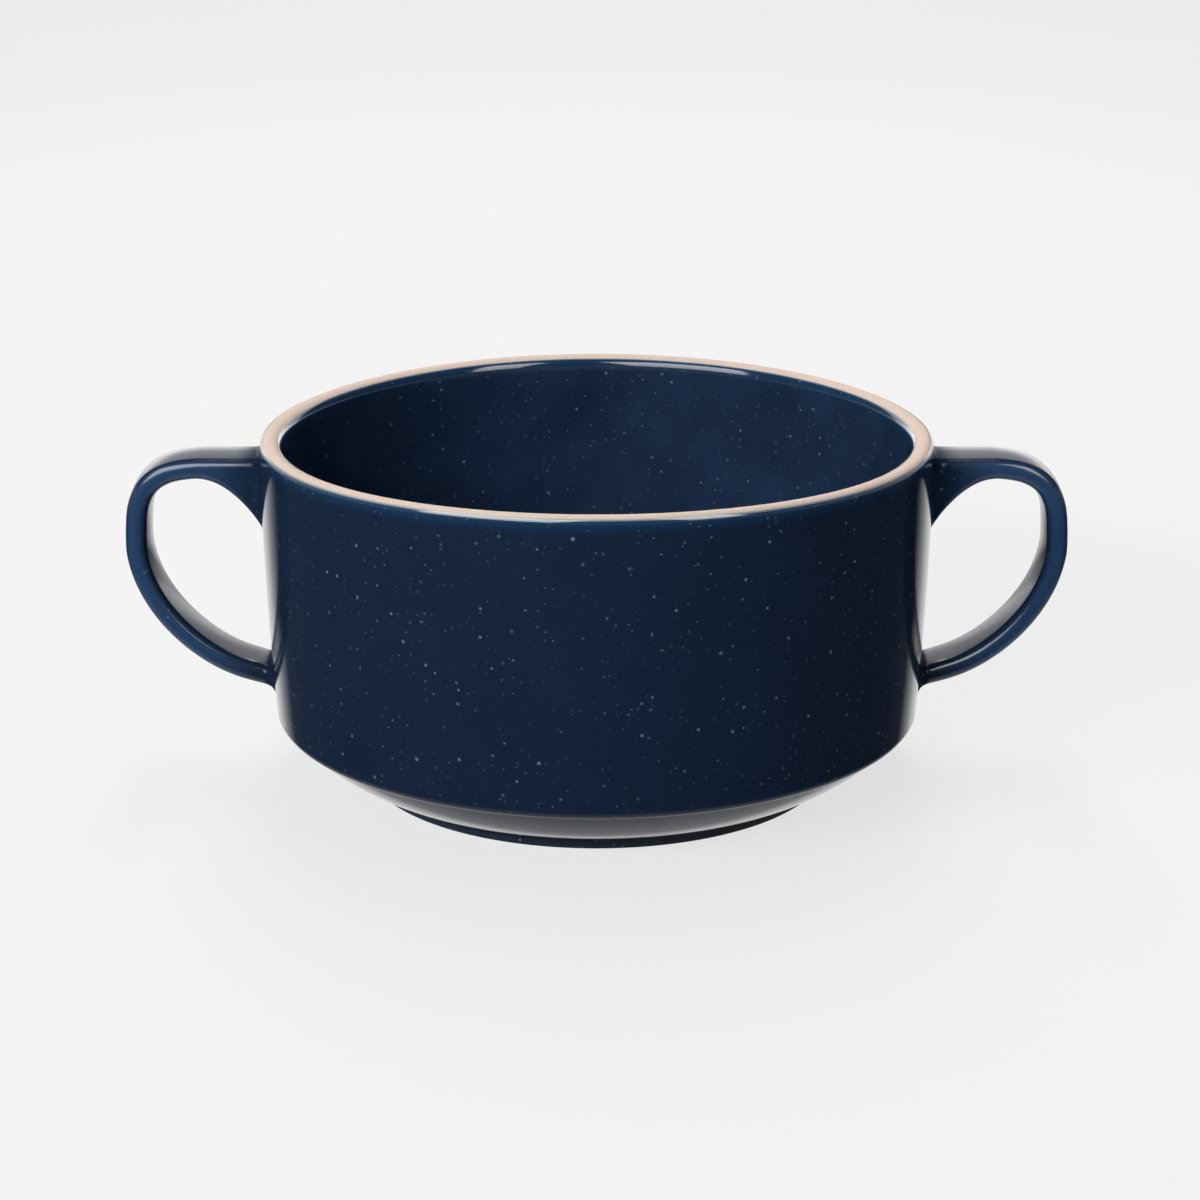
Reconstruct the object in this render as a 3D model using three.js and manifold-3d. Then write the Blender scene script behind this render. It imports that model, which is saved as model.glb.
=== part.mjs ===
// A two-handled stoneware soup bowl: a buff clay body with a bare lip and a bare foot ring,
// glaze coats outside, inside and under the base, and two strap handles luted to the wall.
// Millimetres, +Z up. The origin is on the floor at the bowl's axis, and the handles lie along X.

import * as THREE from "three";
import { mergeVertices } from "three/addons/utils/BufferGeometryUtils.js";
import Module from "manifold-3d";

// Clay body
const bowlHeight = 72;
const rimRadius = 67; // outside of the clay at the lip
const shoulderRadius = 65.1; // outside of the clay where the wall turns under
const wallBow = 0.5; // how far the wall swells past a straight line
const wallThickness = 4;
const lipOuterRound = 1.3;
const lipInnerRound = 2.3;
const shoulderHeight = 13.4;
const shoulderRound = 1.4;
const undercutBulge = 2.2; // how far the underside's curve is pulled out of its chord
const footRadius = 47;
const footHeight = 2.2;
const footWidth = 6;
const footRound = 0.8;
const recessDepth = 2.6;
const recessRound = 1.2;
const floorHeight = 8;
const insideRound = 17; // between the inside wall and the floor

// Glaze coats
const coatThickness = 0.4;
const coatGap = 0.05; // hairline between a coat and the clay under it
const wipedFootAngle = Math.PI / 3; // part of the foot's outer edge that is wiped clean of glaze
const outerGlazeLine = Math.PI / 6; // how far the coats reach round the two edges of the lip
const innerGlazeLine = Math.PI / 4;

// Handles
const strapWidth = 12.8;
const strapThickness = 4.4;
const strapEdgeRound = 1.7;
const handleReach = 28.3; // from the clay's rim to the outside of the handle
const upperDrop = 7.5; // from the lip down to the middle of the strap's upper run
const upperRun = 9;
const bendRun = 8.5;
const bendRise = 14.5;
const widestDrop = 14.5; // from the upper run down to the handle's widest place
const sweepDrop = 14;
const sweepRun = 10;
const lowerRise = 7; // from the shoulder up to the middle of the strap's lower end
const lowerRun = 6;
const lowerSlope = (17 * Math.PI) / 180;

// Luted joints, the clay fillets worked into the corners between a strap and the wall
const seatGap = 0.3;
const upperFilletReach = 10;
const upperFilletDrop = 11.2;
const upperFilletHollow = 0.75; // share of the corner that the hollow curve leaves open
const lowerFilletReach = 5;
const lowerFilletRise = 5;
const lowerFilletHollow = 0.7;

// Faces round a turn, along a strap, along a curve, and half of those round an edge
const turnFaces = 48;
const strapSteps = 28;
const curveSteps = 3;
const roundSteps = 1;

const wasm = await Module();
wasm.setup();

// A closed solid for joining and cutting
function solidOf(geometry) {
  const bare = geometry.index ? geometry.toNonIndexed() : geometry.clone();
  bare.deleteAttribute("normal");
  bare.deleteAttribute("uv");
  const merged = mergeVertices(bare, 1e-4);
  const triangles = [];
  const index = merged.index.array;
  for (let i = 0; i < index.length; i += 3) {
    const [a, b, c] = [index[i], index[i + 1], index[i + 2]];
    if (a !== b && b !== c && c !== a) triangles.push(a, b, c);
  }
  return new wasm.Manifold(
    new wasm.Mesh({
      numProp: 3,
      vertProperties: merged.attributes.position.array,
      triVerts: new Uint32Array(triangles),
    }),
  );
}

// The surface of a solid, ready for a mesh
function surfaceOf(solid) {
  const { vertProperties, triVerts } = solid.getMesh();
  const geometry = new THREE.BufferGeometry();
  geometry.setAttribute("position", new THREE.BufferAttribute(vertProperties, 3));
  geometry.setIndex(new THREE.BufferAttribute(triVerts, 1));
  geometry.computeVertexNormals();
  return geometry;
}

// A profile of (radius, height) points turned about the bowl's axis
function turned(profile) {
  const lathe = new THREE.LatheGeometry(profile, turnFaces);
  lathe.rotateX(Math.PI / 2);
  return solidOf(lathe);
}

// A profile moved sideways, to the right of its direction, which is away from the clay
function offset(profile, distance) {
  return profile.map((point, i) => {
    const before = profile[Math.max(i - 1, 0)];
    const after = profile[Math.min(i + 1, profile.length - 1)];
    const along = after.clone().sub(before).normalize();
    return new THREE.Vector2(point.x + along.y * distance, point.y - along.x * distance);
  });
}

// An arc of a profile about a centre, between two angles
function arc(x, z, radius, from, to) {
  return new THREE.Path().absarc(x, z, radius, from, to, to < from);
}

// A curve of a profile, pulled towards one point
function pulled(from, pull, to) {
  return new THREE.QuadraticBezierCurve(from, pull, to);
}

// One profile from stretches that meet end to end
function joined(...stretches) {
  const points = stretches.flat();
  return points.filter((point, i) => i === 0 || !point.equals(points[i - 1]));
}

// The recess under the base, from the axis out to the foot ring
function baseProfile() {
  const ringInside = footRadius - footWidth;
  const corner = arc(ringInside - recessRound, recessDepth - recessRound, recessRound, Math.PI / 2, 0);
  return joined(
    [new THREE.Vector2(0, recessDepth)],
    corner.getPoints(roundSteps),
    [new THREE.Vector2(ringInside, footRound)],
  );
}

// The bare foot that the bowl stands on, from the recess to where the outside coat begins
function footProfile() {
  const under = 1.5 * Math.PI;
  const inner = arc(footRadius - footWidth + footRound, footRound, footRound, Math.PI, under);
  const outer = arc(footRadius - footRound, footRound, footRound, under, under + wipedFootAngle);
  return joined(inner.getPoints(roundSteps), outer.getPoints(roundSteps));
}

// The lip's outer edge, between two angles
function outerLip(from, to) {
  return arc(rimRadius - lipOuterRound, bowlHeight - lipOuterRound, lipOuterRound, from, to);
}

// The lip's inner edge, between two angles
function innerLip(from, to) {
  const x = rimRadius - wallThickness + lipInnerRound;
  return arc(x, bowlHeight - lipInnerRound, lipInnerRound, from, to);
}

// The glazed outside, from the foot's edge up under the shoulder and up the wall to the lip
function outsideProfile() {
  const underStart = new THREE.Vector2(footRadius, footHeight);
  const underEnd = new THREE.Vector2(shoulderRadius - shoulderRound, shoulderHeight);
  const chord = underEnd.clone().sub(underStart).normalize();
  const underPull = underStart.clone().add(underEnd).divideScalar(2);
  underPull.x += chord.y * undercutBulge;
  underPull.y -= chord.x * undercutBulge;
  const wallStart = new THREE.Vector2(shoulderRadius, shoulderHeight + shoulderRound);
  const wallEnd = new THREE.Vector2(rimRadius, bowlHeight - lipOuterRound);
  const wallPull = wallStart.clone().add(wallEnd).divideScalar(2);
  wallPull.x += 2 * wallBow;
  const under = 1.5 * Math.PI;
  const outward = 2 * Math.PI;
  const edge = arc(footRadius - footRound, footRound, footRound, under + wipedFootAngle, outward);
  const shoulder = arc(underEnd.x, wallStart.y, shoulderRound, under, outward);
  return joined(
    edge.getPoints(roundSteps),
    pulled(underStart, underPull, underEnd).getPoints(curveSteps),
    shoulder.getPoints(roundSteps),
    pulled(wallStart, wallPull, wallEnd).getPoints(curveSteps),
    outerLip(0, outerGlazeLine).getPoints(roundSteps),
  );
}

// The bare lip, over the top of the wall
function lipProfile() {
  const crown = Math.PI / 2;
  return joined(
    outerLip(outerGlazeLine, crown).getPoints(roundSteps),
    innerLip(crown, Math.PI - innerGlazeLine).getPoints(roundSteps),
  );
}

// The glazed inside, from the lip down the wall and across the floor to the axis
function insideProfile() {
  const floorEdge = shoulderRadius - wallThickness - insideRound;
  const corner = arc(floorEdge, floorHeight + insideRound, insideRound, 0, -Math.PI / 2);
  return joined(
    innerLip(Math.PI - innerGlazeLine, Math.PI).getPoints(roundSteps),
    corner.getPoints(curveSteps),
    [new THREE.Vector2(0, floorHeight)],
  );
}

// The clay body, all round its outline
function clayBody() {
  return turned(
    joined(baseProfile(), footProfile(), outsideProfile(), lipProfile(), insideProfile()),
  );
}

// A glaze coat that follows a stretch of the clay's outline
function coat(profile) {
  const surface = offset(profile, coatGap + coatThickness);
  const bond = offset(profile, coatGap).reverse();
  return turned([...surface, ...bond, surface[0]]);
}

// Everything inside the clay's outside face, with the gap that a seated piece keeps to it
function seatedAway() {
  const face = offset(outsideProfile(), seatGap);
  const foot = new THREE.Vector2(0, face[0].y);
  const top = new THREE.Vector2(0, face.at(-1).y);
  return turned([foot, ...face, top]);
}

// The clay's outside radius at a height on the wall
function wallRadius(height) {
  const wallFoot = shoulderHeight + shoulderRound;
  const share = (height - wallFoot) / (bowlHeight - lipOuterRound - wallFoot);
  return shoulderRadius + (rimRadius - shoulderRadius) * share + 4 * wallBow * share * (1 - share);
}

// Where the two ends of a strap meet the wall, in the handle's own plane of radius and height
const upperHeight = bowlHeight - upperDrop;
const lowerHeight = shoulderHeight + lowerRise;
const upperSeat = new THREE.Vector2(wallRadius(upperHeight), upperHeight);
const lowerSeat = new THREE.Vector2(wallRadius(lowerHeight), lowerHeight);
const lowerWay = new THREE.Vector2(Math.cos(lowerSlope), Math.sin(lowerSlope));

function inPlane(x, z) {
  return new THREE.Vector3(x, 0, z);
}

// The middle line of a strap: out from the wall, round the bend, down the sweep and back in
function strapPath() {
  const start = inPlane(upperSeat.x - wallThickness, upperHeight);
  const bend = inPlane(upperSeat.x + upperRun, upperHeight);
  const widestX = rimRadius + handleReach - strapThickness / 2;
  const widestZ = upperHeight - widestDrop;
  const widest = inPlane(widestX, widestZ);
  const along = (run) => inPlane(lowerSeat.x + lowerWay.x * run, lowerSeat.y + lowerWay.y * run);
  const path = new THREE.CurvePath();
  path.add(new THREE.LineCurve3(start, bend));
  path.add(
    new THREE.CubicBezierCurve3(
      bend,
      inPlane(bend.x + bendRun, upperHeight),
      inPlane(widestX, widestZ + bendRise),
      widest,
    ),
  );
  path.add(
    new THREE.CubicBezierCurve3(
      widest,
      inPlane(widestX, widestZ - sweepDrop),
      along(lowerRun + sweepRun),
      along(lowerRun),
    ),
  );
  path.add(new THREE.LineCurve3(along(lowerRun), along(-wallThickness)));
  return path;
}

// A strap with rounded edges along its middle line, made larger all round by grow
// Its section's x is its thickness, in the handle's plane, and its y is its width
function strap(grow) {
  const thick = strapThickness / 2 + grow;
  const wide = strapWidth / 2 + grow;
  const round = Math.min(strapEdgeRound, strapThickness / 2) + grow;
  const section = new THREE.Shape();
  section.absarc(thick - round, wide - round, round, 0, Math.PI / 2);
  section.absarc(round - thick, wide - round, round, Math.PI / 2, Math.PI);
  section.absarc(round - thick, round - wide, round, Math.PI, 1.5 * Math.PI);
  section.absarc(thick - round, round - wide, round, 1.5 * Math.PI, 2 * Math.PI);
  section.closePath();
  const options = { steps: strapSteps, extrudePath: strapPath(), curveSegments: roundSteps };
  return solidOf(new THREE.ExtrudeGeometry(section, options));
}

// A fillet's outline in the handle's plane, drawn out across the strap's width
function acrossStrap(outline, grow) {
  const depth = strapWidth + 2 * grow;
  const options = { depth, bevelEnabled: false, curveSegments: curveSteps };
  const slab = new THREE.ExtrudeGeometry(outline, options);
  slab.translate(0, 0, -depth / 2);
  slab.rotateX(Math.PI / 2);
  return solidOf(slab);
}

// The hollow gusset under the strap's upper end
function upperFillet(grow) {
  const top = upperHeight - strapThickness / 2 - seatGap + grow;
  const tip = top - upperFilletDrop - 2 * grow;
  const buried = upperSeat.x - wallThickness;
  const open = 1 - upperFilletHollow;
  const outline = new THREE.Shape();
  outline.moveTo(buried, top);
  outline.lineTo(buried, tip);
  outline.lineTo(wallRadius(tip), tip);
  outline.quadraticCurveTo(
    upperSeat.x + upperFilletReach * open + grow,
    top - upperFilletDrop * open - grow,
    upperSeat.x + upperFilletReach,
    top,
  );
  return acrossStrap(outline, grow);
}

// The small fillet in the corner above the strap's lower end
function lowerFillet(grow) {
  const lift = strapThickness / 2 + seatGap - grow;
  const base = new THREE.Vector2(lowerSeat.x - lowerWay.y * lift, lowerSeat.y + lowerWay.x * lift);
  const along = (run) => base.clone().addScaledVector(lowerWay, run);
  const buried = along(-wallThickness);
  const out = along(lowerFilletReach + grow);
  const pull = along(lowerFilletReach * (1 - lowerFilletHollow) + grow);
  const tip = base.y + lowerFilletRise + 2 * grow;
  const outline = new THREE.Shape();
  outline.moveTo(buried.x, buried.y);
  outline.lineTo(out.x, out.y);
  outline.quadraticCurveTo(
    pull.x,
    pull.y + lowerFilletRise * (1 - lowerFilletHollow),
    wallRadius(tip),
    tip,
  );
  outline.lineTo(buried.x, tip);
  return acrossStrap(outline, grow);
}

// The outside coat, open where the straps and fillets reach the clay
function outsideCoat() {
  const halfTurn = [0, 0, 180];
  let whole = coat(outsideProfile());
  for (const piece of [strap(seatGap), upperFillet(seatGap), lowerFillet(seatGap)]) {
    whole = whole.subtract(piece).subtract(piece.rotate(halfTurn));
  }
  return whole;
}

const buffClay = { color: 0xe4cdb9, roughness: 0.85, metalness: 0 };
const navyGlaze = { color: 0x1c3658, roughness: 0.22, metalness: 0 };

function piece(name, solid, finish) {
  const mesh = new THREE.Mesh(surfaceOf(solid), new THREE.MeshStandardMaterial(finish));
  mesh.name = name;
  return mesh;
}

// One handle with its two luted joints, on the +X side of its group
function handle(side) {
  const wall = seatedAway();
  const group = new THREE.Group();
  group.add(
    piece(`${side}_handle`, strap(0).subtract(wall), navyGlaze),
    piece(`${side}_upper_joint`, upperFillet(0).subtract(wall), navyGlaze),
    piece(`${side}_lower_joint`, lowerFillet(0).subtract(wall), navyGlaze),
  );
  return group;
}

const bowl = new THREE.Group();
bowl.add(
  piece("clay_body", clayBody(), buffClay),
  piece("outside_glaze", outsideCoat(), navyGlaze),
  piece("inside_glaze", coat(insideProfile()), navyGlaze),
  piece("base_glaze", coat(baseProfile()), navyGlaze),
);
const rightHandle = handle("right");
const leftHandle = handle("left");
leftHandle.rotation.z = Math.PI;
bowl.add(rightHandle, leftHandle);

export default bowl;
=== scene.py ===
"""A two-handled stoneware soup bowl: turned clay, speckled navy glaze and two strap handles."""

import math
from collections import namedtuple
from functools import partial

import bmesh
import bpy
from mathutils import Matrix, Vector


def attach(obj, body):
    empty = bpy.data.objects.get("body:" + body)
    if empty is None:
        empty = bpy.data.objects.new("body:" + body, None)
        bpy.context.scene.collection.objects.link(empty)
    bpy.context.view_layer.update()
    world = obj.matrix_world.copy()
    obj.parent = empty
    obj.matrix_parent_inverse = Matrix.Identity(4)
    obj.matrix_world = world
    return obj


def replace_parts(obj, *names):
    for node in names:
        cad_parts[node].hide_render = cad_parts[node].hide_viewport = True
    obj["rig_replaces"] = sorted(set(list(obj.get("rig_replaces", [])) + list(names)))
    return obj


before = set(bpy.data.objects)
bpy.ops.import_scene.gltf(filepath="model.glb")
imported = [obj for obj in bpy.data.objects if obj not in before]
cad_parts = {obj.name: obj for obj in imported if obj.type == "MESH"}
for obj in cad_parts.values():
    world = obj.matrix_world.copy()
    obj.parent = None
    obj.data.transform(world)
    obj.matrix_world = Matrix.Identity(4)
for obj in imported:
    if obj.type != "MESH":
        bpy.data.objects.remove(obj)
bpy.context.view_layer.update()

bl_info = {
    "name": "Stoneware Soup Bowl",
    "version": (1, 0, 0),
    "blender": (4, 5, 0),
    "location": "3D View > Sidebar > Soup Bowl",
    "description": "Builds a glazed stoneware soup bowl with two strap handles and a plain stage",
    "category": "Add Mesh",
}

MM = 0.001
BODY = "root"
TURN_STEPS = 160
STRAP_STEPS = 24
ROOT_STEPS = 14
SMOOTH_ANGLE = math.radians(50)
SAME_POINT = MM / 1000
WHITE = "#FFFFFF"
COLOUR = {"data_type": "RGBA"}
SOFT = {"interpolation_type": "SMOOTHSTEP"}


def linear(hex_colour):
    """An sRGB hex colour as linear red, green, blue and alpha."""
    channels = [int(hex_colour[i : i + 2], 16) / 255 for i in (1, 3, 5)]
    return [c / 12.92 if c <= 0.04045 else ((c + 0.055) / 1.055) ** 2.4 for c in channels] + [1.0]


def length(name, description, millimetres):
    """A size that a user can change, kept in metres."""
    return bpy.props.FloatProperty(
        name=name, description=description, default=millimetres * MM, unit="LENGTH", precision=5
    )


def angle(name, description, degrees):
    """An angle that a user can change."""
    return bpy.props.FloatProperty(
        name=name, description=description, default=math.radians(degrees), subtype="ANGLE"
    )


def amount(name, description, value):
    """A plain number that a user can change."""
    return bpy.props.FloatProperty(name=name, description=description, default=value, precision=3)


def tint(name, description, hex_colour):
    """A colour that a user can change."""
    return bpy.props.FloatVectorProperty(
        name=name, description=description, default=linear(hex_colour), size=4, subtype="COLOR"
    )


class BowlSizes(bpy.types.PropertyGroup):
    """Sizes of the turned clay and its glaze coats"""

    height: length("Height", "From the table to the top of the lip", 72)
    rim: length("Rim radius", "Outside of the clay at the lip", 67)
    shoulder: length("Shoulder radius", "Outside of the clay where the wall turns under", 65.1)
    bow: length("Wall bow", "How far the wall swells past a straight line", 0.5)
    wall: length("Wall thickness", "Thickness of the clay wall", 4)
    lip_outer: length("Lip outer rounding", "Radius of the lip's outer edge", 1.3)
    lip_inner: length("Lip inner rounding", "Radius of the lip's inner edge", 2.3)
    shoulder_height: length("Shoulder height", "From the table to the step", 13.4)
    shoulder_round: length("Shoulder rounding", "Radius of the step's edge", 1.4)
    under_bulge: length("Undercut bulge", "How far the underside swells out of its chord", 2.2)
    foot: length("Foot radius", "Outside of the foot", 47)
    foot_height: length("Foot height", "Height of the foot's upright band", 2.2)
    foot_width: length("Foot ring width", "Width of the ring that the bowl stands on", 6)
    foot_round: length("Foot rounding", "Radius of the foot ring's edges", 0.8)
    recess: length("Base recess", "How far the base is hollowed inside the foot ring", 2.6)
    recess_round: length("Recess rounding", "Radius in the corner of the recess", 1.2)
    floor: length("Floor height", "From the table to the inside floor", 8)
    inside_round: length("Inside rounding", "Radius between the inside wall and the floor", 17)
    coat: length("Glaze thickness", "Thickness of a glaze coat", 0.4)
    hairline: length("Glaze hairline", "Gap between a coat and the clay under it", 0.05)
    coat_edge: length("Glaze edge", "Thickness of a coat where it is wiped off at the lip", 0.08)
    coat_taper: length("Glaze taper", "Height over which a coat thins towards the lip", 3)
    outer_line: angle("Outer glaze line", "How far the coat goes round the lip's outer edge", 40)
    inner_line: angle("Inner glaze line", "How far the coat goes round the lip's inner edge", 45)
    foot_wipe: angle("Wiped foot", "Part of the foot's outer edge that is wiped bare", 60)
    rim_dip: length("Rim dip", "How far the rim has sunk beside the handles", 1.1)
    dip_start: length("Dip start", "Height from which the wall has sunk", 45)


class HandleSizes(bpy.types.PropertyGroup):
    """Sizes of a strap handle and of the clay worked in where it meets the wall"""

    width: length("Strap width", "Across the strap, from front to back", 12.8)
    thickness: length("Strap thickness", "Through the middle of the strap, in the handle's plane", 5)
    edge: length("Strap edge", "Radius of the strap's long edges", 2)
    crown: length("Strap crown", "How far the strap's broad sides are pulled out in the middle", 0.35)
    reach: length("Reach", "From the clay's rim to the outside of the handle", 28.35)
    upper_drop: length("Upper drop", "From the lip down to the middle of the upper run", 7.5)
    upper_run: length("Upper run", "From the wall out to the start of the bend", 9)
    bend_run: length("Bend run", "Pull of the bend along the upper run", 8.5)
    bend_rise: length("Bend rise", "Pull of the bend above the widest place", 14.5)
    widest_drop: length("Widest drop", "From the upper run down to the widest place", 14.5)
    sweep_drop: length("Sweep drop", "Pull of the sweep below the widest place", 14)
    sweep_run: length("Sweep run", "Pull of the sweep along the lower run", 10)
    lower_rise: length("Lower rise", "From the shoulder up to the strap's lower end", 7)
    lower_run: length("Lower run", "Straight end of the strap at the wall", 6)
    lower_slope: angle("Lower slope", "Rise of the lower run away from the wall", 17)
    gusset_reach: length("Gusset reach", "From the wall out to the end of the upper gusset", 12.7)
    gusset_drop: length("Gusset drop", "From the strap's underside down to the gusset's tip", 10)
    side_fillet: length("Side fillet", "Radius between a strap's side and the wall", 2.3)
    top_fillet: length("Top fillet", "Radius between a strap's top or underside and the wall", 1.3)
    buried: length("Buried end", "How far a strap's end goes into the clay", 1.6)


class GlazeLook(bpy.types.PropertyGroup):
    """Colours and grain of the glaze and of the bare clay"""

    navy: tint("Navy", "Colour of the glaze", "#1A2940")
    deep_navy: tint("Deep navy", "Colour where the glaze lies thicker", "#162338")
    # Painted light: the same navy glaze as outside, written lighter so that the shaded inside of the bowl
    # renders as light as the outside
    inside_navy_painted_lighter: tint("Inside navy painted lighter", "Colour of the glaze inside the bowl", "#2A4161")
    # Mixed over the straps' front and back faces, fading out towards the wall
    strap_face_navy: tint("Strap navy", "Colour of the thinner glaze on the straps", "#294467")
    thin_glaze: tint("Thin glaze", "Colour at the wiped edge under the lip", "#163C5F")
    edge_glaze: tint("Edge glaze", "Colour where the coat runs out and the clay shows through", "#AEB7B4")
    speckle: tint("Speckle", "Colour of the pale specks", "#99B4CC")
    clay: tint("Bare clay", "Colour of the unglazed stoneware", "#DDCBBD")
    warm_clay: tint("Warm clay", "Flashing of the unglazed stoneware", "#DBC1AE")
    speck_spacing: length("Speck spacing", "Mean spacing of the pale specks in the glaze", 2.1)
    speck_size: length("Speck size", "Radius of the largest pale specks", 0.55)
    dust_spacing: length("Dust spacing", "Mean spacing of the finest specks", 1.3)
    dust_size: length("Dust size", "Radius of the finest specks", 0.31)
    speck_strength: amount("Speck strength", "How far the pale specks cover the navy", 0.55)
    dust_strength: amount("Dust strength", "How far the finest specks cover the navy", 0.4)
    speck_rarity: amount("Speck rarity", "Power by which strong specks are rarer than faint ones", 2.4)
    thin_band: length("Thin band", "Height of the thin glaze under the lip", 2.6)
    edge_band: length("Edge band", "Height over which the clay shows through under the lip", 0.35)
    mottle: length("Mottle", "Size of the patches where the glaze is deeper", 14)
    clay_grain: length("Clay grain", "Size of the grit in the bare clay", 0.5)


class StageSetup(bpy.types.PropertyGroup):
    """Camera, floor and lamps"""

    distance: length("Camera distance", "From the camera to the point that it looks at", 600)
    aim_x: length("Aim across", "Where the camera looks, across the bowl", 0.66)
    aim_z: length("Aim height", "Where the camera looks, above the table", 35.45)
    elevation: angle("Camera elevation", "How far the camera looks down", 17.48)
    sensor: amount("Sensor", "Width of the camera's sensor in millimetres", 36)
    lens: amount("Lens", "Focal length in millimetres", 88.15)
    floor_size: length("Floor", "Side of the floor", 8000)
    floor_upstand: length("Floor upstand", "How far the paper is turned up at the floor's edges", 900)
    floor_colour: tint("Floor colour", "Colour of the plain floor", "#D2D2D1")
    floor_white: amount("Floor white", "Share of even white in what is seen of the floor", 0.72)
    room_light: amount("Room light", "Strength of the even light from all sides", 0.06)
    lamp_aim: length("Lamp aim", "Height that the lamps look at, on the bowl's axis", 35)


# Outlines of the turned pieces, as points of radius and height

Point = namedtuple("Point", "r z")
UP, INWARD, DOWN, OUTWARD = (quarter * math.pi / 2 for quarter in (1, 2, 3, 4))


def arc(centre, radius, start, end, steps):
    """Points round a centre, between two angles."""
    turns = [start + (end - start) * i / steps for i in range(steps + 1)]
    return [Point(centre.r + radius * math.cos(t), centre.z + radius * math.sin(t)) for t in turns]


def pulled(start, pull, end, steps):
    """Points along a curve that is pulled towards one point."""
    shares = [i / steps for i in range(steps + 1)]
    return [
        Point(
            (1 - t) ** 2 * start.r + 2 * t * (1 - t) * pull.r + t * t * end.r,
            (1 - t) ** 2 * start.z + 2 * t * (1 - t) * pull.z + t * t * end.z,
        )
        for t in shares
    ]


def joined(*stretches):
    """One outline from stretches that meet end to end."""
    outline = []
    for point in (p for stretch in stretches for p in stretch):
        if not outline or math.dist(point, outline[-1]) > SAME_POINT / 10:
            outline.append(point)
    return outline


def offset(outline, distances):
    """An outline moved to the right of its direction, by one distance for each point."""
    moved = []
    last = len(outline) - 1
    for i, (point, distance) in enumerate(zip(outline, distances)):
        before, after = outline[max(i - 1, 0)], outline[min(i + 1, last)]
        run = math.dist(before, after)
        across = Point((after.z - before.z) / run, (before.r - after.r) / run)
        moved.append(Point(point.r + across.r * distance, point.z + across.z * distance))
    return moved


def recess_outline(s):
    """The hollow under the base, from the axis out to the foot ring."""
    ring_inside = s.foot - s.foot_width
    corner = Point(ring_inside - s.recess_round, s.recess - s.recess_round)
    return joined(
        [Point(0, s.recess)],
        arc(corner, s.recess_round, UP, 0, steps=6),
        [Point(ring_inside, s.foot_round)],
    )


def foot_outline(s):
    """The bare ring that the bowl stands on."""
    inner = Point(s.foot - s.foot_width + s.foot_round, s.foot_round)
    outer = Point(s.foot - s.foot_round, s.foot_round)
    return joined(
        arc(inner, s.foot_round, INWARD, DOWN, steps=5),
        arc(outer, s.foot_round, DOWN, DOWN + s.foot_wipe, steps=4),
    )


def outer_lip(s, start, end):
    """The lip's outer edge, between two angles."""
    centre = Point(s.rim - s.lip_outer, s.height - s.lip_outer)
    return arc(centre, s.lip_outer, start, end, steps=7)


def inner_lip(s, start, end):
    """The lip's inner edge, between two angles."""
    centre = Point(s.rim - s.wall + s.lip_inner, s.height - s.lip_inner)
    return arc(centre, s.lip_inner, start, end, steps=7)


def outside_outline(s):
    """The glazed outside: the foot's edge, the undercut, the shoulder, the wall and part of the lip."""
    edge = Point(s.foot - s.foot_round, s.foot_round)
    under_start = Point(s.foot, s.foot_height)
    under_end = Point(s.shoulder - s.shoulder_round, s.shoulder_height)
    run = math.dist(under_start, under_end)
    under_pull = Point(
        (under_start.r + under_end.r) / 2 + (under_end.z - under_start.z) / run * s.under_bulge,
        (under_start.z + under_end.z) / 2 - (under_end.r - under_start.r) / run * s.under_bulge,
    )
    shoulder = Point(under_end.r, s.shoulder_height + s.shoulder_round)
    wall_start = Point(s.shoulder, shoulder.z)
    wall_end = Point(s.rim, s.height - s.lip_outer)
    wall_pull = Point((wall_start.r + wall_end.r) / 2 + 2 * s.bow, (wall_start.z + wall_end.z) / 2)
    return joined(
        arc(edge, s.foot_round, DOWN + s.foot_wipe, OUTWARD, steps=3),
        pulled(under_start, under_pull, under_end, steps=14),
        arc(shoulder, s.shoulder_round, DOWN, OUTWARD, steps=8),
        pulled(wall_start, wall_pull, wall_end, steps=36),
        outer_lip(s, 0, s.outer_line),
    )


def lip_outline(s):
    """The bare lip over the top of the wall."""
    return joined(outer_lip(s, s.outer_line, UP), inner_lip(s, UP, INWARD - s.inner_line))


def inside_outline(s):
    """The glazed inside, from the lip down the wall and across the floor to the axis."""
    top = Point(s.rim - s.wall, s.height - s.lip_inner)
    corner = Point(s.shoulder - s.wall - s.inside_round, s.floor + s.inside_round)
    foot = Point(s.shoulder - s.wall, corner.z)
    middle = Point((top.r + foot.r) / 2, (top.z + foot.z) / 2)
    return joined(
        inner_lip(s, INWARD - s.inner_line, INWARD),
        pulled(top, middle, foot, steps=28),
        arc(corner, s.inside_round, 0, -UP, steps=18),
        [Point(0, s.floor)],
    )


def glaze_line(s):
    """Height at which the coats end on the lip."""
    return s.height - s.lip_outer * (1 - math.sin(s.outer_line))


def coat_outline(clay, s):
    """A closed coat over a stretch of clay, thinning towards the lip."""
    surface = []
    for point in clay:
        share = min(1, max(0, (glaze_line(s) - point.z) / s.coat_taper))
        surface.append(s.hairline + s.coat_edge + (s.coat - s.coat_edge) * share)
    bond = offset(clay, [s.hairline] * len(clay))
    return offset(clay, surface) + bond[::-1]


def clay_radius(s, height):
    """Outside of the clay wall at a height."""
    foot = s.shoulder_height + s.shoulder_round
    share = (height - foot) / (s.height - s.lip_outer - foot)
    return s.shoulder + (s.rim - s.shoulder) * share + 4 * s.bow * share * (1 - share)


def wall_radius(s, height):
    """Outside of the glazed wall at a height."""
    return clay_radius(s, height) + s.hairline + s.coat


# Modelling steps shared by the pieces


def only(piece):
    """Makes one object the only selected and active one."""
    bpy.ops.object.select_all(action="DESELECT")
    piece.select_set(True)
    bpy.context.view_layer.objects.active = piece


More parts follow.
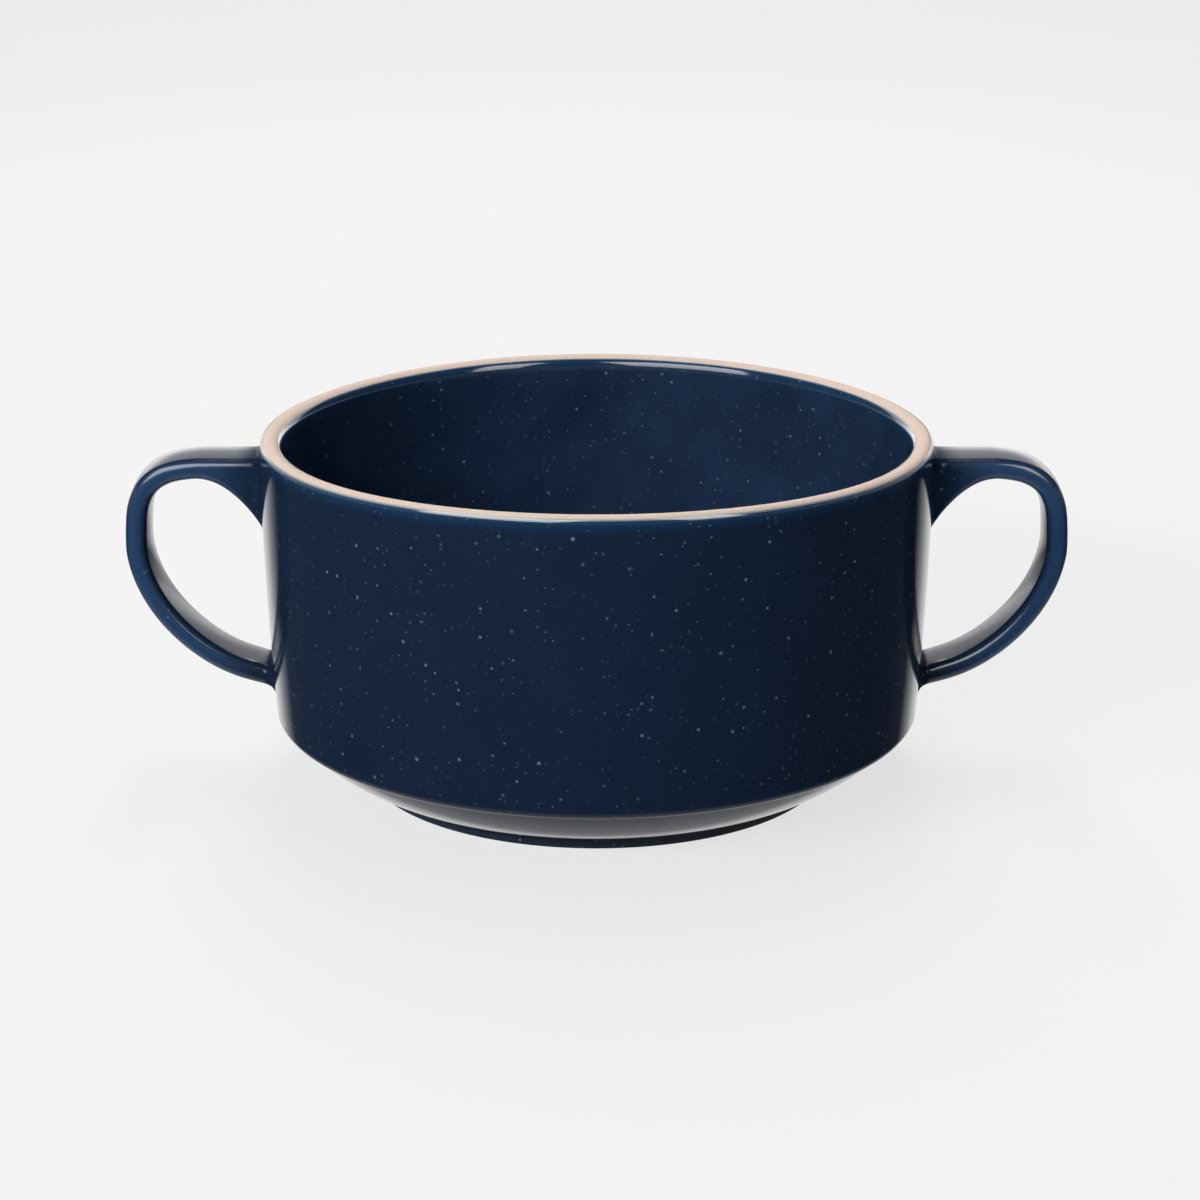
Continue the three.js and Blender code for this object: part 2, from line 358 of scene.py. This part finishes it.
def start_point(name, place):
    """A new object in edit mode, with one vertex at a place."""
    bpy.ops.object.select_all(action="DESELECT")
    bpy.ops.mesh.primitive_plane_add(size=MM, location=place)
    piece = bpy.context.object
    piece.name = piece.data.name = name
    bpy.ops.object.transform_apply(location=True, rotation=True, scale=True)
    bpy.ops.object.mode_set(mode="EDIT")
    bpy.ops.mesh.select_all(action="SELECT")
    bpy.ops.mesh.merge(type="CENTER")
    return piece


def turn(name, outline):
    """An outline thrown once round the bowl's axis, as on a wheel."""
    piece = start_point(name, (outline[0].r, 0, outline[0].z))
    for before, after in zip(outline, outline[1:]):
        step = (after.r - before.r, 0, after.z - before.z)
        bpy.ops.mesh.extrude_vertices_move(TRANSFORM_OT_translate={"value": step})
    bpy.ops.mesh.select_all(action="SELECT")
    bpy.ops.mesh.spin(steps=TURN_STEPS, angle=2 * math.pi, center=(0, 0, 0), axis=(0, 0, 1))
    bpy.ops.mesh.select_all(action="SELECT")
    bpy.ops.mesh.remove_doubles(threshold=SAME_POINT)
    bpy.ops.mesh.normals_make_consistent(inside=False)
    bpy.ops.object.mode_set(mode="OBJECT")
    only(piece)
    bpy.ops.object.shade_smooth_by_angle(angle=SMOOTH_ANGLE)
    return piece


def sink_rim(piece, s):
    """Lowers the upper wall beside the handles, where the clay has sunk a little under them."""
    for vertex in piece.data.vertices:
        x, y, z = vertex.co
        share = max(0, (z - s.dip_start) / (s.height - s.dip_start))
        if share:
            vertex.co.z -= s.rim_dip * share**2 * x * x / (x * x + y * y)


def dress(piece, material, slot, *nodes):
    """Gives a piece its finish and says which solids it stands for."""
    piece.data.materials.clear()
    piece.data.materials.append(material)
    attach(piece, BODY)
    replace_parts(piece, *nodes)


# Materials


def add_node(tree, kind, settings=(), **inputs):
    """Adds a node, sets it and fills its inputs with values, sockets or other nodes."""
    node = tree.nodes.new("ShaderNode" + kind)
    for name, value in dict(settings).items():
        setattr(node, name, value)
    for name, value in inputs.items():
        socket = node.inputs[int(name[1:])] if name[1:].isdigit() else node.inputs[name.replace("_", " ")]
        if isinstance(value, bpy.types.Node):
            value = next(output for output in value.outputs if output.enabled)
        if isinstance(value, bpy.types.NodeSocket):
            tree.links.new(value, socket)
        else:
            socket.default_value = value
    return node


def new_material(name):
    """A material with an empty node tree, and the way to add nodes to it."""
    material = bpy.data.materials.new(name)
    material.use_nodes = True
    material.node_tree.nodes.clear()
    return material, partial(add_node, material.node_tree)


# How one glazed piece differs from the others: its mirror when faced, the gloss of its level faces,
# how rough that gloss is, and how strong its specks are
Finish = namedtuple("Finish", "name navy mirror level_gloss gloss_roughness grit")

# Where gloss begins and where it is full: by slant to the eye, by how far a face lies from upright,
# and in the bead under the lip as parts of the lip's rounding below the glaze line
SLANT_BEGIN, SLANT_FULL = 0.72, 0.845
LEVEL_BEGIN, LEVEL_FULL = 0.1, 0.45
BEAD_BEGIN, BEAD_FULL = 0.7, 0.4
FOOT_GLOSS = 0.3
GLASS_IOR = 1.5
SMOOTHEST, ROUGHEST = 0.07, 0.12
RIDGE_SHARE = 0.7


def speckled_glaze(finish, s, look, straps=None):
    """Fired navy glaze on stoneware: deep and even, mirror-like at a slant, with pale specks of grit."""
    material, add = new_material(finish.name)
    place = add("TexCoord")
    axes = add("SeparateXYZ", Vector=place.outputs["Object"])
    patches = add("TexNoise", Vector=place.outputs["Object"], Scale=1 / look.mottle, Detail=3.0)
    colour = add("Mix", COLOUR, i0=patches, i6=finish.navy, i7=look.deep_navy)
    # Heights are taken as they were before the rim sank beside the handles
    level_way = add("VectorMath", {"operation": "MULTIPLY"}, i0=place.outputs["Object"], i1=(1, 1, 0))
    level_way = add("VectorMath", {"operation": "NORMALIZE"}, i0=level_way)
    sunk = add("VectorMath", {"operation": "MULTIPLY"}, i0=level_way, i1=(s.rim_dip, 0, 0))
    sunk = add("VectorMath", {"operation": "DOT_PRODUCT"}, i0=sunk, i1=level_way)
    height = add("Math", i0=axes.outputs["Z"], i1=sunk)
    # The coat is thin under the lip, where its blue comes through. On the straps, the front and back
    # faces are mixed to a lighter blue that fades out near the wall
    top = glaze_line(s)
    for band, blue in ((look.thin_band, look.thin_glaze), (look.edge_band, look.edge_glaze)):
        thin = add("MapRange", Value=height, From_Min=top - band, From_Max=top)
        colour = add("Mix", COLOUR, i0=thin, i6=colour, i7=blue)
    if straps:
        across = add("Math", {"operation": "ABSOLUTE"}, i0=axes.outputs["Y"])
        side = straps.width / 2
        inner = side - straps.edge * RIDGE_SHARE
        ridge = add("MapRange", SOFT, Value=across, From_Min=inner, From_Max=side)
        out = add("Math", {"operation": "ABSOLUTE"}, i0=axes.outputs["X"])
        away = add("MapRange", SOFT, Value=out, From_Min=s.rim, From_Max=s.rim + straps.gusset_reach)
        lighter_face_share = add("Math", {"operation": "MULTIPLY"}, i0=ridge, i1=away)
        colour = add("Mix", COLOUR, i0=lighter_face_share, i6=colour, i7=look.strap_face_navy)
    for spacing, size, strength in (
        (look.speck_spacing, look.speck_size, look.speck_strength),
        (look.dust_spacing, look.dust_size, look.dust_strength),
    ):
        largest = size / spacing
        cells = add("TexVoronoi", Vector=place.outputs["Object"], Scale=1 / spacing)
        chance = add("SeparateColor", Color=cells.outputs["Color"])
        reach = add("MapRange", Value=chance.outputs["Green"], To_Min=largest / 2, To_Max=largest)
        dot = add(
            "MapRange",
            SOFT,
            Value=cells.outputs["Distance"],
            From_Min=reach,
            From_Max=0.0,
            To_Max=strength * finish.grit,
        )
        rare = add("Math", {"operation": "POWER"}, i0=chance.outputs["Red"], i1=look.speck_rarity)
        pale = add("Math", {"operation": "MULTIPLY"}, i0=dot, i1=rare)
        colour = add("Mix", COLOUR, i0=pale, i6=colour, i7=look.speckle)
    # Gloss shows at a slant, and on every face that isn't upright
    facing = add("LayerWeight", Blend=0.5)
    slant = add("MapRange", Value=facing.outputs["Facing"], From_Min=SLANT_BEGIN, From_Max=SLANT_FULL)
    lie = add("SeparateXYZ", Vector=place.outputs["Normal"])
    level = add("Math", {"operation": "ABSOLUTE"}, i0=lie.outputs["Z"])
    level = add(
        "MapRange", Value=level, From_Min=LEVEL_BEGIN, From_Max=LEVEL_FULL, To_Max=finish.level_gloss
    )
    # The foot mirrors the table that it stands on, and the coat's edge under the lip is a glossy bead
    foot = add(
        "MapRange", Value=axes.outputs["Z"], From_Min=s.shoulder_height, From_Max=0.0, To_Max=FOOT_GLOSS
    )
    bead = add(
        "MapRange",
        Value=height,
        From_Min=top - s.lip_outer * BEAD_BEGIN,
        From_Max=top - s.lip_outer * BEAD_FULL,
    )
    for place_gloss in (foot, bead):
        level = add("Math", {"operation": "MAXIMUM"}, i0=level, i1=place_gloss)
    gloss = add("Math", {"operation": "MAXIMUM"}, i0=slant, i1=level)
    if straps:
        # Worked clay leaves the glaze duller where a strap joins the wall, most of all under the lip
        worked = add(
            "MapRange",
            Value=axes.outputs["Z"],
            From_Min=s.height / 3,
            From_Max=s.height * 2 / 3,
            To_Min=s.rim + straps.side_fillet / 2,
            To_Max=s.rim + straps.gusset_reach / 2,
        )
        clear = add("MapRange", SOFT, Value=out, From_Min=s.rim, From_Max=worked)
        gloss = add("Math", {"operation": "MULTIPLY"}, i0=gloss, i1=clear)
    shader = add(
        "BsdfPrincipled",
        Base_Color=colour,
        Roughness=add("MapRange", Value=patches, To_Min=SMOOTHEST, To_Max=ROUGHEST),
        IOR=GLASS_IOR,
        Specular_IOR_Level=finish.mirror,
        Coat_Weight=gloss,
        Coat_IOR=GLASS_IOR,
        Coat_Roughness=finish.gloss_roughness,
    )
    add("OutputMaterial", Surface=shader)
    return material


def bare_stoneware(look):
    """Unglazed buff stoneware, wiped and fired: matt and finely gritty, flashed warmer in places."""
    material, add = new_material("Bare buff stoneware")
    place = add("TexCoord").outputs["Object"]
    flash = add("TexNoise", Vector=place, Scale=1 / look.mottle, Detail=2.0)
    grit = add("TexNoise", Vector=place, Scale=1 / look.clay_grain, Detail=4.0)
    colour = add("Mix", COLOUR, i0=flash, i6=look.clay, i7=look.warm_clay)
    grain = add("MapRange", Value=grit, From_Min=0.3, From_Max=0.7, To_Min=0.9, To_Max=1.04)
    colour = add("Mix", {**COLOUR, "blend_type": "MULTIPLY"}, i0=1.0, i6=colour, i7=grain)
    bump = add("Bump", Strength=0.25, Distance=0.05 * MM, Height=grit)
    add("OutputMaterial", Surface=add("BsdfPrincipled", Base_Color=colour, Roughness=0.85, Normal=bump))
    return material


def white_paper(setup):
    """Matt studio paper: an even white that keeps the bowl's shadow, for the eye and in reflections."""
    material, add = new_material("Matt white paper")
    path = add("LightPath")
    seen = path.outputs["Is Camera Ray"]
    for ray in ("Is Glossy Ray", "Is Transmission Ray"):
        seen = add("Math", {"operation": "MAXIMUM"}, i0=seen, i1=path.outputs[ray])
    share = add("Math", {"operation": "MULTIPLY"}, i0=seen, i1=setup.floor_white)
    paper = add("BsdfDiffuse", Color=setup.floor_colour)
    white = add("Emission", Color=linear(WHITE), Strength=1.0)
    add("OutputMaterial", Surface=add("MixShader", i0=share, i1=paper, i2=white))
    return material


# Pieces


class SOUPBOWL_OT_clay(bpy.types.Operator):
    """Throws the clay body: recess, foot ring, wall, lip and floor"""

    bl_idname = "soupbowl.clay"
    bl_label = "Clay Body"

    def execute(self, context):
        s = context.scene.bowl_sizes
        outline = joined(
            recess_outline(s), foot_outline(s), outside_outline(s), lip_outline(s), inside_outline(s)
        )
        clay = turn("clay_bowl", outline)
        sink_rim(clay, s)
        dress(clay, bare_stoneware(context.scene.glaze_look), "buff_stoneware", "clay_body")
        return {"FINISHED"}


class SOUPBOWL_OT_coats(bpy.types.Operator):
    """Lays the glaze coats over the outside, the inside and the base"""

    bl_idname = "soupbowl.coats"
    bl_label = "Glaze Coats"

    def execute(self, context):
        s = context.scene.bowl_sizes
        look = context.scene.glaze_look
        outside = Finish(
            "Speckled navy glaze",
            look.navy,
            mirror=0.002,
            level_gloss=0.55,
            gloss_roughness=0.1,
            grit=1.0,
        )
        # Painted light: less light reaches the inside, so its navy is painted lighter and its specks
        # stronger than the same glaze outside
        inside = outside._replace(
            name="Speckled navy glaze inside painted lighter", navy=look.inside_navy_painted_lighter, mirror=0.15, grit=1.3
        )
        outer = speckled_glaze(outside, s, look)
        inner = speckled_glaze(inside, s, look)
        coats = {
            "outside_glaze": (outside_outline(s), outer),
            "inside_glaze": (inside_outline(s), inner),
            "base_glaze": (recess_outline(s), outer),
        }
        for node, (clay, glaze) in coats.items():
            outline = coat_outline(clay, s)
            coat = turn(f"{node}_coat", outline + outline[:1])
            sink_rim(coat, s)
            dress(coat, glaze, "navy_glaze", node)
        return {"FINISHED"}


Station = namedtuple("Station", "x z tilt wide high")


def fillet(distance, radius):
    """How far a fillet stands out of a strap's face at a distance from the wall."""
    inward = max(radius - max(distance, 0), 0)
    return radius - math.sqrt(radius**2 - inward**2)


def bezier(points, t):
    """A point and its direction on a cubic curve."""
    a, b, c, d = points
    place = [
        (1 - t) ** 3 * p + 3 * t * (1 - t) ** 2 * q + 3 * t * t * (1 - t) * r + t**3 * e
        for p, q, r, e in zip(a, b, c, d)
    ]
    way = [
        (1 - t) ** 2 * (q - p) + 2 * t * (1 - t) * (r - q) + t * t * (e - r)
        for p, q, r, e in zip(a, b, c, d)
    ]
    return place, way


def upper_root(s, h, height):
    """Stations from inside the wall out along the strap's upper end, closest together at the wall."""
    seat = wall_radius(s, height)
    stations = []
    for i in range(ROOT_STEPS + 1):
        out = h.gusset_reach * (i / ROOT_STEPS) ** 2
        wide = h.width / 2 + fillet(out, h.side_fillet)
        rise = fillet(out, h.top_fillet) / 2
        stations.append(Station(seat + out, height + rise, 0, wide, h.thickness / 2 + rise))
    return [stations[0]._replace(x=seat - h.buried)] + stations


def strap_stations(s, h):
    """Sections along a strap, from the upper wall out, round and back into the lower wall."""
    upper = s.height - h.upper_drop
    lower = s.shoulder_height + h.lower_rise
    wide, high = h.width / 2, h.thickness / 2
    stations = upper_root(s, h, upper)
    start = (clay_radius(s, upper) + h.upper_run, upper)
    widest = (s.rim + h.reach - high, upper - h.widest_drop)
    bend = (start, (start[0] + h.bend_run, upper), (widest[0], widest[1] + h.bend_rise), widest)
    seat = clay_radius(s, lower)
    way = (math.cos(h.lower_slope), math.sin(h.lower_slope))

    def along(run):
        return (seat + way[0] * run, lower + way[1] * run)

    sweep = (
        widest,
        (widest[0], widest[1] - h.sweep_drop),
        along(h.lower_run + h.sweep_run),
        along(h.lower_run),
    )
    for curve in (bend, sweep):
        for i in range(1, STRAP_STEPS + 1):
            place, direction = bezier(curve, i / STRAP_STEPS)
            if curve is sweep or place[0] > stations[-1].x + MM / 2:
                tilt = math.atan2(-direction[1], direction[0])
                stations.append(Station(*place, tilt, wide, high))
    return stations + lower_root(s, h, along)


def lower_root(s, h, along):
    """Stations of the strap's lower end, which squares up to the wall and flares a little."""
    stations = []
    for i in range(1, ROOT_STEPS + 1):
        run = h.lower_run * (1 - i / ROOT_STEPS)
        place = along(run)
        out = place[0] - wall_radius(s, place[1])
        square = min(1, (h.lower_run - run) / (h.lower_run - h.side_fillet))
        stations.append(
            Station(
                *place,
                math.pi - h.lower_slope * (1 - square),
                h.width / 2 + fillet(out, h.side_fillet),
                h.thickness / 2 + fillet(out, h.top_fillet),
            )
        )
    last = stations[-1]
    return stations + [last._replace(x=last.x - h.buried)]


def strap(s, h):
    """One strap handle on the right of the bowl, extruded section by section."""
    stations = strap_stations(s, h)
    first = stations[0]
    bpy.ops.object.select_all(action="DESELECT")
    bpy.ops.mesh.primitive_plane_add(size=1, location=(0, 0, 0), rotation=(0, math.pi / 2, 0))
    piece = bpy.context.object
    piece.name = piece.data.name = "right_strap"
    piece.scale = (h.thickness - 2 * h.crown, h.width, 1)
    bpy.ops.object.transform_apply(location=True, rotation=True, scale=True)
    bpy.ops.object.mode_set(mode="EDIT")
    bpy.ops.mesh.select_all(action="SELECT")
    bpy.ops.mesh.bevel(offset=h.edge, segments=6, affect="VERTICES")
    pull_crown(piece, h)
    bpy.ops.mesh.select_all(action="SELECT")
    bpy.ops.transform.resize(
        value=(1, first.wide / (h.width / 2), first.high / (h.thickness / 2)), center_override=(0, 0, 0)
    )
    bpy.ops.transform.translate(value=(first.x, 0, first.z))
    for before, after in zip(stations, stations[1:]):
        step = (after.x - before.x, 0, after.z - before.z)
        bpy.ops.mesh.extrude_region_move(TRANSFORM_OT_translate={"value": step})
        centre = (after.x, 0, after.z)
        growth = (1, after.wide / before.wide, after.high / before.high)
        if after.tilt != before.tilt:
            bpy.ops.transform.rotate(
                value=before.tilt - after.tilt, orient_axis="Y", center_override=centre
            )
        if growth != (1, 1, 1):
            bpy.ops.transform.resize(value=growth, center_override=centre)
    bpy.ops.mesh.select_all(action="SELECT")
    bpy.ops.mesh.normals_make_consistent(inside=False)
    bpy.ops.object.mode_set(mode="OBJECT")
    only(piece)
    work_into_wall(piece, s, h)
    smooth = piece.modifiers.new("Smooth", "SUBSURF")
    smooth.levels = smooth.render_levels = 1
    bpy.ops.object.modifier_apply(modifier=smooth.name)
    bpy.ops.object.shade_smooth()
    return piece


def pull_crown(piece, h):
    """Pulls out the middle of a section's broad sides."""
    bpy.ops.mesh.select_all(action="DESELECT")
    section = bmesh.from_edit_mesh(piece.data)
    for edge in section.edges:
        edge.select_set(edge.calc_length() > h.width / 2)
    bpy.ops.mesh.subdivide(number_cuts=1)
    bpy.ops.mesh.select_all(action="DESELECT")
    section = bmesh.from_edit_mesh(piece.data)
    for vertex in section.verts:
        vertex.select_set(abs(vertex.co.y) < MM / 10)
    growth = h.thickness / (h.thickness - 2 * h.crown)
    bpy.ops.transform.resize(value=(1, 1, growth), center_override=(0, 0, 0))


def work_into_wall(piece, s, h):
    """Hangs the gusset under the upper end, and bends both ends to follow the round of the wall."""
    upper = s.height - h.upper_drop
    lower = s.shoulder_height + h.lower_rise
    for vertex in piece.data.vertices:
        x, y, z = vertex.co
        flat = wall_radius(s, upper if z > s.height / 2 else lower)
        near = max(0, 1 - max(0, x - flat) / h.gusset_reach)
        if s.height / 2 < z < upper + fillet(x - flat, h.top_fillet) / 2:
            vertex.co.z -= h.gusset_drop * near**2
        vertex.co.x += (math.sqrt(wall_radius(s, vertex.co.z) ** 2 - y * y) - flat) * near


class SOUPBOWL_OT_handles(bpy.types.Operator):
    """Draws out the strap handles and works them into the wall"""

    bl_idname = "soupbowl.handles"
    bl_label = "Strap Handles"

    def execute(self, context):
        s = context.scene.bowl_sizes
        h = context.scene.handle_sizes
        look = context.scene.glaze_look
        finish = Finish(
            "Speckled navy glaze on straps",
            look.navy,
            mirror=0.002,
            level_gloss=0.8,
            gloss_roughness=0.18,
            grit=1.0,
        )
        glaze = speckled_glaze(finish, s, look, h)
        right = strap(s, h)
        dress(right, glaze, "glazed_strap", "right_handle", "right_upper_joint", "right_lower_joint")
        left = right.copy()
        left.data = right.data.copy()
        left.name = left.data.name = "left_strap"
        context.collection.objects.link(left)
        left.parent = None
        left.rotation_euler.z = math.pi
        only(left)
        bpy.ops.object.transform_apply(location=True, rotation=True, scale=True)
        del left["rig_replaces"]
        dress(left, glaze, "glazed_strap", "left_handle", "left_upper_joint", "left_lower_joint")
        return {"FINISHED"}


# Stage


# Soft boxes, with places and sides in metres and power in watts. The key and the fill give the matt
# colours their light, and the two glints show only in the gloss.
SoftBox = namedtuple("SoftBox", "name place width height power matt gloss", defaults=(True, True))
SOFT_BOXES = (
    SoftBox("key", (-0.67, -0.92, 0.6), width=1.1, height=0.12, power=12, gloss=False),
    SoftBox("fill", (0.75, -0.7, 0.9), width=0.1, height=0.1, power=0.4, gloss=False),
    SoftBox("left_glint", (-0.63, -0.84, 0.8), width=1.1, height=0.9, power=30, matt=False),
    SoftBox("right_glint", (0.68, -0.81, 0.8), width=0.45, height=0.9, power=11, matt=False),
    SoftBox("top", (0, 0.45, 1), width=0.3, height=1.3, power=8.5),
    SoftBox("back", (0, 1.8, 0.64), width=2.6, height=1.4, power=11.5),
)


def hang(box, target):
    """Hangs a rectangular lamp that looks at a point, and lights matt colour, gloss or both."""
    bpy.ops.object.light_add(type="AREA", location=box.place)
    lamp = bpy.context.object
    lamp.name = lamp.data.name = box.name
    lamp.data.shape = "RECTANGLE"
    lamp.data.size, lamp.data.size_y = box.width, box.height
    lamp.data.energy = box.power
    lamp.visible_diffuse = box.matt
    lamp.visible_glossy = box.gloss
    away = lamp.location - target
    lamp.rotation_euler = away.to_track_quat("Z", "Y").to_euler()


class SOUPBOWL_OT_stage(bpy.types.Operator):
    """Sets the floor, the lamps and the camera"""

    bl_idname = "soupbowl.stage"
    bl_label = "Stage"

    def execute(self, context):
        scene = context.scene
        setup = scene.stage_setup
        bpy.ops.object.select_all(action="DESELECT")
        bpy.ops.mesh.primitive_plane_add(size=setup.floor_size)
        floor = context.object
        floor.name = floor.data.name = "floor"
        bpy.ops.object.mode_set(mode="EDIT")
        bpy.ops.mesh.extrude_edges_move(TRANSFORM_OT_translate={"value": (0, 0, setup.floor_upstand)})
        bpy.ops.object.mode_set(mode="OBJECT")
        floor.data.materials.append(white_paper(setup))

        world = bpy.data.worlds.new("Studio")
        world.use_nodes = True
        room = world.node_tree.nodes["Background"].inputs
        room["Color"].default_value = linear(WHITE)
        room["Strength"].default_value = setup.room_light
        scene.world = world

        for box in SOFT_BOXES:
            hang(box, Vector((0, 0, setup.lamp_aim)))

        aim = Vector((setup.aim_x, 0, setup.aim_z))
        back = Vector((0, -math.cos(setup.elevation), math.sin(setup.elevation)))
        bpy.ops.object.camera_add(location=aim + back * setup.distance)
        camera = context.object
        camera.rotation_euler = (math.pi / 2 - setup.elevation, 0, 0)
        camera.data.lens = setup.lens
        camera.data.sensor_width = setup.sensor
        camera.data.clip_start, camera.data.clip_end = 0.01, 50
        scene.camera = camera
        scene.view_settings.view_transform = "Standard"
        return {"FINISHED"}


class SOUPBOWL_PT_panel(bpy.types.Panel):
    """Sizes, colours and steps of the soup bowl"""

    bl_idname = "SOUPBOWL_PT_panel"
    bl_label = "Soup Bowl"
    bl_space_type = "VIEW_3D"
    bl_region_type = "UI"
    bl_category = "Soup Bowl"

    def draw(self, context):
        for step in STEPS:
            self.layout.operator(step.bl_idname)
        for name in GROUPS:
            group = getattr(context.scene, name)
            box = self.layout.box()
            box.label(text=name.replace("_", " ").capitalize())
            for prop in group.__annotations__:
                box.prop(group, prop)


GROUPS = {
    "bowl_sizes": BowlSizes,
    "handle_sizes": HandleSizes,
    "glaze_look": GlazeLook,
    "stage_setup": StageSetup,
}
STEPS = (SOUPBOWL_OT_clay, SOUPBOWL_OT_coats, SOUPBOWL_OT_handles, SOUPBOWL_OT_stage)
CLASSES = (*GROUPS.values(), *STEPS, SOUPBOWL_PT_panel)


def register():
    for cls in CLASSES:
        bpy.utils.register_class(cls)
    for name, cls in GROUPS.items():
        setattr(bpy.types.Scene, name, bpy.props.PointerProperty(type=cls))


def unregister():
    for name in GROUPS:
        delattr(bpy.types.Scene, name)
    for cls in reversed(CLASSES):
        bpy.utils.unregister_class(cls)


def main():
    register()
    bpy.ops.soupbowl.clay()
    bpy.ops.soupbowl.coats()
    bpy.ops.soupbowl.handles()
    bpy.ops.soupbowl.stage()


if __name__ == "__main__":
    main()
